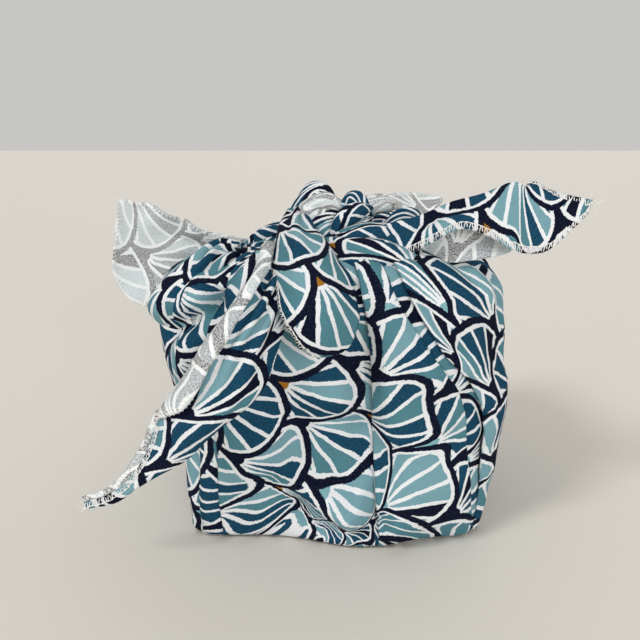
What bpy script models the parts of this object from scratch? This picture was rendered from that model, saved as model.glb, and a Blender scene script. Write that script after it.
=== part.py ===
"""Furoshiki wrap: one square of printed cotton, knotted over a box-shaped parcel that it hides.

The cloth is one solid. A section table gives the wrapped parcel its tapering sides and its domed,
gathered top; pleat rows lay the slack of each corner flat against a face; fold rows add the softer
creases. Strips are the parts of the cloth that stand free: the four tied corners and the petal-like
wrap over the front. Rolls are gathered lengths of cloth that lie on the top and make up the knot.
The tables are in millimetres and degrees. X is to the right, -Y is the front and Z is up, and the
origin is the centre of the face that the parcel rests on.
"""

import math

import bmesh
import bpy
import numpy as np

MM = 0.001

FACES = 4

# Driving sizes.
PARCEL_WIDTH = 180.0
PARCEL_DEPTH = 152.0
PARCEL_HEIGHT = 148.0
CLOTH_THICKNESS = 2.0
ROWS_OF_WALL = 15
COLUMN_STEP = 0.06
PLEAT_EDGE = 0.005
STRIP_STEPS_LONG = 14
STRIP_STEPS_ACROSS = 8
ROLL_STEPS_LONG = 9
ROLL_SIDES = 12

# Sections of the wrapped parcel from the base up, as shares of the driving sizes:
# height of the section, half width, half depth, corner radius, shift to the right.
SECTION_COLUMNS = ("height", "half_width", "half_depth", "corner", "shift")
SECTIONS = (
    (0.000, 0.365, 0.410, 0.08, 2.0),
    (0.018, 0.386, 0.438, 0.09, 2.0),
    (0.070, 0.396, 0.456, 0.10, 2.0),
    (0.200, 0.418, 0.472, 0.12, 2.0),
    (0.360, 0.449, 0.484, 0.17, 1.6),
    (0.540, 0.484, 0.496, 0.18, 1.0),
    (0.740, 0.500, 0.500, 0.20, 0.0),
    (0.880, 0.492, 0.490, 0.21, -0.6),
    (0.950, 0.462, 0.458, 0.21, -1.0),
    (0.995, 0.400, 0.398, 0.20, -1.5),
    (1.025, 0.310, 0.310, 0.17, -2.0),
    (1.050, 0.205, 0.215, 0.13, -3.0),
    (1.090, 0.110, 0.120, 0.08, -4.0),
)

# Pleats: a fold edge that runs up a wall. q runs round the parcel, a whole number at the middle of
# each face (front 0, right 1, back 2, left 3), so a corner is at a half.
PLEAT_HEIGHTS = (0, 25, 50, 72, 90, 107, 125, 148)
PLEAT_COLUMNS = ("q at each of those heights", "lift", "reach", "upper side", "from height", "to height")
PLEATS = (
    ((-0.480, -0.470, -0.455, -0.445, -0.440, -0.440, -0.440, -0.440), 2.2, 18.0, 1, 4.0, 88.0),
    ((-0.400, -0.385, -0.365, -0.345, -0.335, -0.330, -0.325, -0.320), 2.4, 45.0, 1, 4.0, 80.0),
    ((0.145, 0.130, 0.120, 0.112, 0.108, 0.103, 0.094, 0.075), 3.6, 60.0, 1, 3.0, 152.0),
    ((0.455, 0.430, 0.395, 0.365, 0.325, 0.255, 0.190, 0.130), 2.6, 40.0, -1, 3.0, 90.0),
    ((0.520, 0.510, 0.485, 0.450, 0.385, 0.300, 0.240, 0.185), 3.2, 50.0, 1, 24.0, 152.0),
    ((0.780, 0.760, 0.735, 0.715, 0.700, 0.690, 0.685, 0.680), 2.4, 40.0, -1, 4.0, 96.0),
    ((1.120, 1.110, 1.095, 1.085, 1.080, 1.075, 1.070, 1.060), 3.2, 60.0, 1, 4.0, 152.0),
    ((1.420, 1.400, 1.380, 1.350, 1.310, 1.270, 1.230, 1.190), 2.6, 45.0, -1, 4.0, 120.0),
    ((1.620, 1.640, 1.650, 1.665, 1.680, 1.700, 1.720, 1.740), 2.6, 40.0, 1, 4.0, 120.0),
    ((1.930, 1.940, 1.950, 1.955, 1.960, 1.960, 1.960, 1.960), 3.4, 60.0, -1, 4.0, 152.0),
    ((2.410, 2.390, 2.370, 2.350, 2.330, 2.300, 2.270, 2.240), 2.6, 45.0, 1, 4.0, 110.0),
    ((2.620, 2.640, 2.650, 2.660, 2.670, 2.680, 2.690, 2.700), 2.4, 45.0, -1, 4.0, 100.0),
    ((3.080, 3.070, 3.060, 3.055, 3.050, 3.045, 3.040, 3.030), 3.2, 60.0, 1, 4.0, 152.0),
)

# Soft folds on the walls: from (q, height) to (q, height), how far the cloth stands out or sinks
# in, and how wide the fold is.
FOLD_COLUMNS = ("q", "height", "to q", "to height", "rise", "width")
FOLDS = (
    (-0.17, 43.0, 0.02, 12.0, -3.2, 7.0),
    (0.02, 12.0, 0.115, 50.0, -2.6, 6.0),
    (-0.02, 24.0, 0.08, 34.0, 3.2, 13.0),
    (-0.10, 90.0, 0.10, 84.0, -2.6, 6.0),
    (-0.12, 100.0, 0.09, 96.0, 2.4, 9.0),
    (0.16, 112.0, 0.40, 118.0, 2.4, 12.0),
    (0.24, 128.0, 0.47, 104.0, -2.0, 8.0),
    (0.20, 60.0, 0.36, 30.0, 1.8, 14.0),
    (0.80, 104.0, 1.06, 60.0, 2.4, 14.0),
    (1.20, 96.0, 1.40, 40.0, -2.2, 10.0),
    (1.75, 60.0, 2.05, 96.0, 2.6, 14.0),
    (2.22, 40.0, 2.42, 86.0, -2.2, 10.0),
    (2.70, 98.0, 2.92, 50.0, 2.6, 13.0),
    (3.12, 110.0, 3.34, 66.0, -2.4, 10.0),
)

# Gathers: ridges that run in towards the knot over the top.
GATHERS_ROUND = 15
GATHER_RISE = 4.2

# Strips, from the knot to the tip. Each station is an arch of cloth from the hem in front over a
# crown to the hem behind. A low roundness makes the crown a fold, a high one makes it a flat top.
STRIP_COLUMNS = ("front hem", "crown", "back hem", "roundness")
RIGHT_CORNER = (
    ((6, -46, 150), (8, -34, 158), (12, -22, 150), 2.0),
    ((28, -60, 151), (34, -42, 166), (35, -34, 147), 2.0),
    ((46, -66, 158), (50, -50, 173), (52, -40, 141), 1.7),
    ((66, -72, 168), (70, -58, 181), (70, -42, 137), 1.6),
    ((85, -80, 163), (90, -64, 188), (92, -50, 138), 1.6),
    ((100, -80, 158), (107, -70, 178), (110, -62, 172), 1.9),
    ((113, -76, 168), (116, -72, 176), (117, -68, 180), 2.0),
    ((121, -72, 176), (123, -70, 178), (124, -69, 180), 2.0),
)
LEFT_CORNER = (
    ((-42, -14, 146), (-34, -4, 156), (-26, 6, 160), 2.0),
    ((-66, -8, 132), (-60, 7, 145), (-50, 12, 157), 2.0),
    ((-84, -6, 118), (-80, 14, 138), (-68, 10, 158), 2.2),
    ((-104, -2, 112), (-98, 16, 138), (-82, 8, 160), 2.3),
    ((-121, 4, 116), (-110, 16, 142), (-92, 8, 164), 2.3),
    ((-131, 8, 132), (-118, 13, 150), (-106, 9, 170), 2.2),
    ((-128, 8, 152), (-122, 11, 160), (-116, 9, 172), 2.0),
    ((-125, 8, 173), (-123, 9, 174), (-121, 8, 175), 2.0),
)
FRONT_CORNER = (
    ((-32, -56, 156), (-18, -60, 158), (-8, -50, 154), 2.0),
    ((-42, -82, 142), (-30, -92, 144), (-18, -80, 142), 2.0),
    ((-52, -86, 133), (-38, -99, 128), (-21, -92, 130), 2.2),
    ((-64, -88, 120), (-46, -104, 110), (-23, -95, 114), 2.4),
    ((-74, -92, 104), (-54, -107, 95), (-32, -99, 101), 2.4),
    ((-82, -96, 86), (-64, -107, 81), (-46, -102, 85), 2.2),
    ((-89, -98, 72), (-77, -105, 68), (-62, -102, 68), 2.1),
    ((-103, -98, 54), (-97, -101, 53), (-90, -100, 52), 2.0),
    ((-124, -95, 35), (-122, -97, 33), (-120, -96, 32), 2.0),
)
BACK_CORNER = (
    ((2, 8, 152), (2, 14, 164), (-6, 16, 156), 2.0),
    ((30, 30, 154), (24, 36, 166), (12, 42, 166), 2.0),
    ((50, 46, 150), (44, 56, 160), (30, 60, 172), 2.2),
    ((66, 60, 153), (60, 72, 162), (48, 74, 174), 2.2),
    ((73, 74, 163), (70, 80, 167), (64, 80, 173), 2.0),
    ((77, 80, 169), (75, 81, 171), (73, 82, 172), 2.0),
)
PETAL = (
    ((-26, -16, 170), (-18, -16, 174), (-12, -14, 170), 2.0),
    ((-27, -40, 166), (-18, -46, 173), (-8, -42, 168), 2.0),
    ((-31, -66, 156), (-17, -75, 166), (-3, -62, 158), 2.1),
    ((-32, -80, 148), (-15, -90, 152), (4, -76, 144), 2.3),
    ((-25, -90, 138), (-11, -97, 136), (7, -82, 132), 2.4),
    ((-16, -93, 125), (-6, -98, 123), (7, -86, 121), 2.3),
    ((-8, -93, 113), (-2, -95, 112), (3, -91, 112), 2.0),
)
STRIPS = {
    "right_corner": RIGHT_CORNER,
    "left_corner": LEFT_CORNER,
    "front_corner": FRONT_CORNER,
    "back_corner": BACK_CORNER,
    "petal": PETAL,
}

# Rolls of gathered cloth, through three points, with the radius at the ends and in the middle and
# how many ridges run along them.
ROLL_COLUMNS = ("from", "by way of", "to", "end radius", "middle radius", "ridges")
ROLLS = {
    "left_shoulder": ((-30, -20, 156), (-66, -36, 151), (-80, -42, 112), 9.0, 13.5, 4),
    "right_shoulder": ((-4, -46, 152), (22, -60, 153), (58, -50, 148), 8.0, 10.5, 3),
    "back_left_roll": ((-14, 2, 158), (-36, 22, 158), (-58, 40, 140), 7.0, 11.0, 3),
    "back_right_roll": ((6, 6, 156), (36, 26, 156), (64, 44, 141), 7.0, 10.5, 3),
    "knot_core": ((-18, -22, 152), (0, -22, 166), (18, -20, 152), 13.0, 17.0, 5),
    "knot_back": ((-20, -10, 154), (-6, 2, 165), (14, 0, 154), 10.0, 14.0, 4),
    "knot_curl": ((-20, -30, 162), (-9, -14, 178), (4, -8, 164), 6.5, 7.5, 3),
    "knot_lap": ((2, -44, 154), (12, -30, 171), (22, -14, 160), 7.0, 9.5, 3),
    "front_hem_roll": ((-32, -82, 148), (-66, -97, 119), (-87, -98, 77), 2.8, 4.0, 2),
}
RIDGE_SHARE = 0.12
RIDGE_TWIST = 2.4


def clear_scene():
    for found in list(bpy.data.objects):
        bpy.data.objects.remove(found)


def cotton():
    material = bpy.data.materials.new("printed_cotton")
    material.use_nodes = True
    shader = material.node_tree.nodes["Principled BSDF"]
    shader.inputs["Base Color"].default_value = (0.24, 0.42, 0.50, 1.0)
    shader.inputs["Roughness"].default_value = 0.85
    shader.inputs["Metallic"].default_value = 0.0
    return material


def smooth_step(value):
    value = np.clip(value, 0.0, 1.0)
    return value * value * (3.0 - 2.0 * value)


def through_rows(rows, count):
    """A smooth curve through the rows of a table, read at count even steps."""
    rows = np.array(rows, float)
    at = np.linspace(0.0, len(rows) - 1.0, count)
    first = np.minimum(at.astype(int), len(rows) - 2)
    part = (at - first)[:, None]
    padded = np.vstack([2 * rows[0] - rows[1], rows, 2 * rows[-1] - rows[-2]])
    before, here, there, after = (padded[first + k] for k in range(4))
    return 0.5 * (
        2 * here
        + (there - before) * part
        + (2 * before - 5 * here + 4 * there - after) * part**2
        + (3 * here - before - 3 * there + after) * part**3
    )


def unit(vectors):
    return vectors / np.linalg.norm(vectors, axis=-1, keepdims=True)


def mesh_object(name, points, faces, material):
    mesh = bpy.data.meshes.new(name)
    mesh.from_pydata((np.asarray(points) * MM).tolist(), [], faces)
    mesh.materials.append(material)
    made = bpy.data.objects.new(name, mesh)
    bpy.context.scene.collection.objects.link(made)
    return made


def pleat_place(pleat, height):
    """Where round the parcel this pleat's edge is at a height."""
    return np.interp(height, PLEAT_HEIGHTS, pleat[0])


def wall_columns(height):
    """q of every column at this height. Two columns follow each pleat's edge, so that it is sharp."""
    places = [pleat_place(pleat, height) for pleat in PLEATS]
    starts = [pleat[0][0] for pleat in PLEATS]
    columns = []
    for place, following, low, high in zip(
        places, places[1:] + [places[0] + FACES], starts, starts[1:] + [starts[0] + FACES]
    ):
        start, end = place + PLEAT_EDGE, following - PLEAT_EDGE
        steps = max(1, round((high - low) / COLUMN_STEP))
        columns += [place - PLEAT_EDGE] + [start + (end - start) * n / steps for n in range(steps)]
    return np.array(columns)


def around(q, half_width, half_depth, corner, shift):
    """The point at q on a rounded rectangle, its outward direction and its millimetres for each q."""
    q = (q + 0.5) % FACES - 0.5
    face = np.round(q).astype(int) % FACES
    along = 2.0 * (q - np.round(q))
    turn = face * math.pi / 2
    square_x = np.cos(turn) * along + np.sin(turn)
    square_y = np.sin(turn) * along - np.cos(turn)
    x, y = square_x * half_width, square_y * half_depth
    inner_x = np.clip(x, corner - half_width, half_width - corner)
    inner_y = np.clip(y, corner - half_depth, half_depth - corner)
    away = unit(np.stack([x - inner_x, y - inner_y], axis=-1) + 1e-9)
    place = np.stack([inner_x, inner_y], axis=-1) + away * corner
    place[:, 0] += shift
    scale = np.where(face % 2 == 0, 2 * half_width, 2 * half_depth)
    return place, away, scale


def pleat_offset(q, height, scale):
    """How far the pleats lift the cloth at each q of one section."""
    lifted = np.zeros_like(q)
    for pleat in PLEATS:
        _, lift, reach, upper, low, high = pleat
        beside = (q - pleat_place(pleat, height) + 2.0) % FACES - 2.0
        distance = upper * beside * scale
        strength = smooth_step((height - low) / 14.0) * smooth_step((high - height) / 12.0)
        on_top = (distance > 0) * (1.0 - smooth_step(distance / reach))
        lifted += lift * strength * on_top
    return lifted


def fold_offset(q, height, scale):
    """How far the soft folds move the cloth out or in."""
    moved = np.zeros_like(q)
    for start_q, start_z, end_q, end_z, rise, width in FOLDS:
        beside = ((q - start_q + 2.0) % FACES - 2.0) * scale
        run, climb = (end_q - start_q) * scale, end_z - start_z
        share = np.clip((beside * run + (height - start_z) * climb) / (run**2 + climb**2), 0, 1)
        gap = np.hypot(beside - share * run, height - start_z - share * climb)
        moved += rise * np.exp(-((gap / width) ** 2))
    return moved


def gather_offset(q, height, half_width):
    """Ridges that grow towards the knot."""
    full = PARCEL_WIDTH / 2
    strength = smooth_step((height - 0.86 * PARCEL_HEIGHT) / 16.0) * min(1.0, half_width / (0.3 * full))
    wave = np.cos(2 * math.pi * GATHERS_ROUND * q / FACES + 1.1 * np.sin(2.3 * q * math.pi / 2))
    return GATHER_RISE * strength * wave


def parcel_rings():
    """The rings of points of the wrapped parcel, from the rim of its base to the knot."""
    size = np.array([PARCEL_HEIGHT, PARCEL_WIDTH, PARCEL_DEPTH, PARCEL_WIDTH, 1.0])
    rings = []
    for row in through_rows(np.array(SECTIONS) * size, ROWS_OF_WALL + len(SECTIONS)):
        height, half_width, half_depth, corner, shift = row
        q = wall_columns(min(height, PARCEL_HEIGHT))
        place, away, scale = around(q, half_width, half_depth, corner, shift)
        out = pleat_offset(q, height, scale) + fold_offset(q, height, scale)
        out *= smooth_step(height / 10.0)
        out += gather_offset(q, height, half_width)
        tilt = smooth_step((height - 0.9 * PARCEL_HEIGHT) / 12.0)
        side = place + away * (out * (1.0 - 0.75 * tilt))[:, None]
        rings.append(np.column_stack([side, height + 0.75 * tilt * out]))
    rings[0][:, 2] = 0.0
    return rings


def parcel(material):
    """The wrapped parcel: a closed body on a flat base."""
    rings = parcel_rings()
    count = len(rings[0])
    points = np.vstack(rings + [[[2.0, 0.0, 0.0]], [rings[-1].mean(0) + [0, 0, 3.0]]])
    base, knot = len(points) - 2, len(points) - 1
    faces = []
    for n in range(count):
        beside = (n + 1) % count
        faces.append((base, beside, n))
        faces.append((knot, (len(rings) - 1) * count + n, (len(rings) - 1) * count + beside))
        for ring in range(len(rings) - 1):
            low, high = ring * count, (ring + 1) * count
            faces.append((low + n, low + beside, high + beside, high + n))
    return mesh_object("furoshiki_cloth", points, faces, material)


def strip_points(rows):
    """The grid of points of a strip: an arch of points across it at each step along it."""
    flat = [(*front, *crown, *back, roundness) for front, crown, back, roundness in rows]
    read = through_rows(flat, STRIP_STEPS_LONG)
    front, crown, back, roundness = np.split(read[:, None, :], (3, 6, 9), axis=-1)
    across = np.linspace(-1, 1, STRIP_STEPS_ACROSS + 1)[None, :, None]
    fall = np.abs(across) ** roundness
    return crown + across * (back - front) / 2 + fall * ((front + back) / 2 - crown)


def strip(name, rows, material):
    """A free part of the cloth as a sheet of its own thickness."""
    grid = strip_points(rows)
    long, wide = grid.shape[:2]
    faces = [
        (a * wide + b, a * wide + b + 1, (a + 1) * wide + b + 1, (a + 1) * wide + b)
        for a in range(long - 1)
        for b in range(wide - 1)
    ]
    made = mesh_object(name, grid.reshape(-1, 3), faces, material)
    thicken = made.modifiers.new("Cloth", "SOLIDIFY")
    thicken.thickness = CLOTH_THICKNESS * MM
    thicken.offset = 0.0
    return made


def roll(name, row, material):
    """A gathered length of cloth: a ridged, tapered tube along an arc, with closed ends."""
    start, middle, end, end_radius, middle_radius, ridges = row
    crest = 2 * np.array(middle, float) - (np.array(start, float) + end) / 2
    share = np.linspace(0, 1, ROLL_STEPS_LONG)[:, None]
    spine = (1 - share) ** 2 * start + 2 * share * (1 - share) * crest + share**2 * np.array(end)
    ahead = unit(np.gradient(spine, axis=0))
    side = unit(np.cross(ahead, (0.05, 0.03, 1.0)))
    up = np.cross(side, ahead)
    angle = np.arange(ROLL_SIDES) * 2 * math.pi / ROLL_SIDES
    ring = np.cos(angle)[:, None, None] * side + np.sin(angle)[:, None, None] * up
    radius = end_radius + (middle_radius - end_radius) * np.sin(math.pi * share)
    ridge = np.cos(ridges * angle[:, None, None] + RIDGE_TWIST * share)
    points = (spine + ring * radius * (1 + RIDGE_SHARE * ridge)).transpose(1, 0, 2).reshape(-1, 3)
    faces = [tuple(range(ROLL_SIDES)), tuple(reversed(range(len(points) - ROLL_SIDES, len(points))))]
    for a in range(ROLL_STEPS_LONG - 1):
        for b in range(ROLL_SIDES):
            low, high = a * ROLL_SIDES, (a + 1) * ROLL_SIDES
            beside = (b + 1) % ROLL_SIDES
            faces.append((low + b, high + b, high + beside, low + beside))
    made = mesh_object(name, points, faces, material)
    outward = bmesh.new()
    outward.from_mesh(made.data)
    bmesh.ops.recalc_face_normals(outward, faces=outward.faces)
    outward.to_mesh(made.data)
    outward.free()
    return made


def join(body, piece):
    """Makes the piece one with the body."""
    union = body.modifiers.new(piece.name, "BOOLEAN")
    union.operation = "UNION"
    union.solver = "EXACT"
    union.object = piece
    piece.hide_render = True
    piece.display_type = "WIRE"


def main():
    clear_scene()
    material = cotton()
    cloth = parcel(material)
    for name, rows in STRIPS.items():
        join(cloth, strip(name, rows, material))
    for name, row in ROLLS.items():
        join(cloth, roll(name, row, material))
    cloth.data.shade_smooth()


main()
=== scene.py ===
"""Furoshiki wrap: a square of printed cotton with an overlocked hem, wrapped over a box and tied.

The cloth is one piece. Its wall is lofted from sections and laid in pleats, its gathers run up to the
knot, and its four corners stand free. The print follows the cloth through a UV map in metres of flat
cloth. Tables are in millimetres and degrees: X right, -Y front, Z up.
"""

import itertools
import math

import bmesh
import bpy
import numpy as np
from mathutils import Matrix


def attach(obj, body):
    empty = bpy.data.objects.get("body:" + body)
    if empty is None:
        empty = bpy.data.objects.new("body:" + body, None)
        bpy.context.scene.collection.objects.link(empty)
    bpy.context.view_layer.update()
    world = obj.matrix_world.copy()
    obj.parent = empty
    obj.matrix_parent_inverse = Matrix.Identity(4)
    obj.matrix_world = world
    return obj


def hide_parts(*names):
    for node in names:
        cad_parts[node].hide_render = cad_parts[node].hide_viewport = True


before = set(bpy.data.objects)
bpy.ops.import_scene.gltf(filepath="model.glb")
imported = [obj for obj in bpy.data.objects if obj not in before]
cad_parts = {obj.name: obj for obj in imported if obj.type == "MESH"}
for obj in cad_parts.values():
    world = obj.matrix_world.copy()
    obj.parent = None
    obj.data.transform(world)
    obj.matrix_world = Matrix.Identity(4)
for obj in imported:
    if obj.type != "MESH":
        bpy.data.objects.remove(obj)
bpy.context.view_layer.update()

MM = 0.001
CLOTH_THICKNESS = 0.5

# The wrapped parcel.
WIDTH, DEPTH, HEIGHT = 180.0, 152.0, 148.0
FACES = 4
WALL_ROWS = 76
WALL_STEP = 2.9
SECTIONS = (  # height, half width, half depth, corner radius, shift right, as shares of the sizes
    (0.000, 0.416, 0.414, 0.06, 2.0),
    (0.018, 0.422, 0.438, 0.07, 2.6),
    (0.070, 0.428, 0.456, 0.09, 3.2),
    (0.200, 0.442, 0.472, 0.12, 2.4),
    (0.360, 0.456, 0.484, 0.16, 2.0),
    (0.540, 0.485, 0.496, 0.18, 1.0),
    (0.740, 0.500, 0.500, 0.20, 0.0),
    (0.880, 0.492, 0.490, 0.21, -0.6),
    (0.950, 0.462, 0.458, 0.21, -1.0),
    (0.995, 0.400, 0.398, 0.20, -1.5),
    (1.025, 0.310, 0.310, 0.17, -2.0),
    (1.050, 0.205, 0.215, 0.13, -3.0),
    (1.090, 0.110, 0.120, 0.08, -4.0),
)

# Pleats. q runs round the parcel: 0 front, 1 right, 2 back, 3 left, a corner at each half.
PLEAT_HEIGHTS = (0, 25, 50, 72, 90, 107, 125, 148)
PLEATS = (  # q at each of those heights, lift, reach, hidden depth, upper side, from height, to height
    ((-0.480, -0.470, -0.455, -0.445, -0.440, -0.440, -0.440, -0.440), 2.2, 18.0, 9.0, 1, 4.0, 88.0),
    ((-0.400, -0.385, -0.365, -0.345, -0.335, -0.330, -0.325, -0.320), 2.4, 45.0, 26.0, 1, 4.0, 80.0),
    ((0.145, 0.130, 0.120, 0.112, 0.108, 0.103, 0.094, 0.075), 4.8, 60.0, 34.0, 1, 3.0, 152.0),
    ((0.455, 0.430, 0.395, 0.365, 0.325, 0.255, 0.190, 0.130), 3.4, 40.0, 11.0, -1, 3.0, 152.0),
    ((0.520, 0.510, 0.485, 0.450, 0.385, 0.300, 0.240, 0.185), 3.6, 50.0, 22.0, 1, 24.0, 152.0),
    ((0.780, 0.760, 0.735, 0.715, 0.700, 0.690, 0.685, 0.680), 2.4, 40.0, 28.0, -1, 4.0, 96.0),
    ((1.120, 1.110, 1.095, 1.085, 1.080, 1.075, 1.070, 1.060), 3.2, 60.0, 36.0, 1, 4.0, 152.0),
    ((1.420, 1.400, 1.380, 1.350, 1.310, 1.270, 1.230, 1.190), 2.6, 45.0, 30.0, -1, 4.0, 120.0),
    ((1.620, 1.640, 1.650, 1.665, 1.680, 1.700, 1.720, 1.740), 2.6, 40.0, 26.0, 1, 4.0, 120.0),
    ((1.930, 1.940, 1.950, 1.955, 1.960, 1.960, 1.960, 1.960), 3.4, 60.0, 34.0, -1, 4.0, 152.0),
    ((2.410, 2.390, 2.370, 2.350, 2.330, 2.300, 2.270, 2.240), 2.6, 45.0, 28.0, 1, 4.0, 110.0),
    ((2.620, 2.640, 2.650, 2.660, 2.670, 2.680, 2.690, 2.700), 2.4, 45.0, 24.0, -1, 4.0, 100.0),
    ((3.080, 3.070, 3.060, 3.055, 3.050, 3.045, 3.040, 3.030), 3.2, 60.0, 38.0, 1, 4.0, 152.0),
)
LEAST_LIFT = 1.0
PLEAT_RELIEF = 1.5
PLEAT_GROWS, PLEAT_SINKS = 14.0, 12.0  # up it, from nothing to its full lift and back
HIDDEN_DIP, HIDDEN_DIP_TOP = 1.0, 2.0  # how far the hidden layers lie in, at the foot and the gathers
INNER_SIDE = 0.7  # how far in the wall's wrong side lies, out of sight, between the pleats
# A pleat's back-and-forth section: share of the hidden depth, millimetres past that, layer from 0
# for the cloth that goes under to 2 for the cloth on top.
PLEAT_SECTION = (
    (0.0, 0.6, 0.0),
    (0.5, 0.0, 0.0),
    (1.0, 0.0, 0.0),
    (1.0, 0.8, 0.5),
    (1.0, 0.0, 1.0),
    (0.5, 0.0, 1.0),
    (0.0, 0.2, 1.0),
    (0.0, -0.7, 1.25),
    (0.0, -1.0, 1.6),
    (0.0, -0.5, 1.88),
    (0.0, 0.6, 1.98),
    (0.0, 2.4, 2.0),
)
TURN_BACK = 0.5  # the layer of the column where the cloth turns back, out of sight
UNDER_EDGE, TOP_EDGE = PLEAT_SECTION[0][1], PLEAT_SECTION[-1][1]

# The print in each stretch of wall between two of the pleats' hidden folds: the pleat that it starts
# at, the pleat whose plain cloth it is measured from, the q where that is nil, the fans' direction
# and their place.
STRETCHES = (
    (0, 1, -0.15, -33.0, 6.0, 13.0),
    (2, 2, 0.25, 36.0, 0.0, 4.0),
    (4, 5, 0.90, 118.0, 9.0, 0.0),
    (7, 9, 2.15, -148.0, 3.0, 8.0),
    (10, 11, 2.90, 66.0, 14.0, 0.0),
    (12, 12, 3.30, -60.0, 0.0, 11.0),
)

# Soft folds: q, height, to q, to height, rise, width, print gathered into it.
FOLDS = (
    (-0.210, 37.0, -0.130, 22.0, -4.2, 5.5, 11.0),
    (-0.130, 22.0, -0.040, 11.0, -3.8, 5.5, 14.0),
    (-0.040, 11.0, 0.060, 8.0, -3.0, 5.0, 14.0),
    (0.060, 8.0, 0.135, 18.0, -3.6, 5.5, 13.0),
    (0.135, 18.0, 0.160, 54.0, -4.0, 5.5, 9.0),
    (-0.110, 31.0, 0.010, 20.0, 4.2, 6.0, 0.0),
    (0.010, 20.0, 0.090, 36.0, 4.2, 6.0, 0.0),
    (-0.060, 42.0, 0.030, 31.0, -3.2, 5.0, 0.0),
    (-0.110, 73.0, 0.092, 69.0, -4.0, 6.0, 6.0),
    (-0.100, 84.0, 0.090, 80.0, 2.8, 9.0, 0.0),
    (0.070, 112.0, 0.096, 34.0, -6.0, 8.0, 0.0),
    (0.215, 136.0, 0.330, 108.0, -2.8, 5.0, 5.0),
    (0.270, 132.0, 0.420, 82.0, 2.6, 9.0, 0.0),
    (0.330, 108.0, 0.440, 70.0, -2.6, 5.0, 4.0),
    (0.180, 118.0, 0.260, 96.0, 2.8, 9.0, 0.0),
    (0.200, 62.0, 0.330, 36.0, 2.4, 12.0, 0.0),
    (0.340, 64.0, 0.420, 22.0, -2.4, 6.0, 4.0),
    (-0.330, 70.0, -0.220, 40.0, 2.4, 10.0, 0.0),
    (-0.440, 150.0, -0.335, 139.0, -7.0, 5.0, 0.0),
    (-0.335, 139.0, -0.325, 129.0, -9.0, 5.0, 0.0),
    (-0.325, 129.0, -0.420, 120.0, -9.0, 5.0, 0.0),
    (-0.420, 120.0, -0.600, 112.0, -8.0, 5.0, 0.0),
    (-0.250, 146.0, -0.260, 124.0, 4.0, 7.0, 0.0),
    (-0.330, 116.0, -0.460, 98.0, 4.0, 10.0, 0.0),
    (0.80, 104.0, 1.06, 60.0, 2.4, 14.0, 0.0),
    (1.20, 96.0, 1.40, 40.0, -2.2, 10.0, 0.0),
    (1.75, 60.0, 2.05, 96.0, 2.6, 14.0, 0.0),
    (2.22, 40.0, 2.42, 86.0, -2.2, 10.0, 0.0),
    (2.70, 98.0, 2.92, 50.0, 2.6, 13.0, 0.0),
    (3.12, 110.0, 3.34, 66.0, -2.4, 10.0, 0.0),
)
# Bags of slack cloth at the foot: q, width in q, height, how far out.
FOOT_BAGS = (
    (0.075, 0.20, 30.0, 13.0),
    (1.30, 0.15, 26.0, 5.0),
    (2.60, 0.16, 28.0, 6.0),
    (3.40, 0.12, 24.0, 4.0),
)
BAG_FULL = 8.0  # height up to which a bag is at its fullest
SLACK_BESIDE, SLACK_PAST = 50.0, 9.0  # how far a fold's gathered print is felt, beside and past it
# Wrinkles all over the wall: rise, size round it, size up it, seed. The ridges are sharp-backed.
WRINKLES = ((2.0, 38, 46, 1), (0.7, 13, 30, 2), (0.25, 5, 12, 4))
RIDGES = (2.2, 19, 55, 3)
WRINKLED_RADIUS = 110.0  # of the round wall that wrinkles are drawn on, so that they have no seam
FLAT_FOOT = 12.0  # how far up the folds and wrinkles grow from nothing at the floor

# The gathers: how many go round, and how far they stand out.
GATHERS_ROUND, FINE_GATHERS_ROUND = 26, 34
GATHER_RISE, FINE_GATHER_RISE = 3.4, 1.2
GATHERS_FROM, GATHERS_GROW = 0.84, 20.0  # share of the height where they start, and how soon they grow
CALM, CALM_Q, CALM_WIDTH = 0.8, -0.55, 0.35  # how flat they are at the left front corner, and where
LEAN, LEAN_FROM, LEAN_OVER = 0.75, 0.9, 12.0  # share of a fold's rise that goes up, over the top
DRAWN_IN, DRAWN_FROM, DRAWN_TO = 1.3, 80.0, 20.0  # more cloth to each step, over those half widths
# The top sags behind and to the left of the knot: how far, from x and y, over x and y, from which
# share of the height, over how much height.
BACK_LEFT_SAG = (11.0, -5, -50, 40, 60, 0.8, 28)

# Corners folded over the top: from y, to y, half width, height.
TUCKED = {
    "tucked_front": (-56.0, 50.0, 62.0, 128.0),
    "tucked_back": (56.0, -50.0, 62.0, 131.0),
}

# Free corners, the petal and the folded lobe: front hem, crown, back hem, roundness, and for one of
# them the width that is turned back at the front.
RIGHT_CORNER = (
    ((6, -46, 150), (8, -34, 158), (12, -22, 150), 2.0),
    ((30, -57, 151), (33, -42, 166), (34, -46, 149), 2.0),
    ((42, -61, 156), (46, -48, 171), (46, -52, 149), 1.8),
    ((55, -66, 164), (59, -53, 177), (58, -58, 148), 1.6),
    ((65, -70, 166), (70, -57, 181), (69, -62, 150), 1.6),
    ((76, -75, 162), (79, -62, 186), (81, -66, 153), 1.6),
    ((81, -77, 158), (84, -64, 188), (87, -70, 158), 1.7),
    ((85, -78, 157), (88, -67, 187), (91, -66, 171), 1.8),
    ((89, -79, 156), (91, -72, 179), (94, -63, 187), 2.0),
    ((98, -80, 157), (101, -76, 172), (103, -66, 185), 2.0),
    ((110, -77, 166), (112, -73, 175), (114, -69, 181), 2.0),
    ((118, -74, 173), (119, -72, 177), (120, -70, 180), 2.0),
    ((121, -72, 178), (122, -70, 179), (123, -69, 180), 2.0),
)
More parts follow.
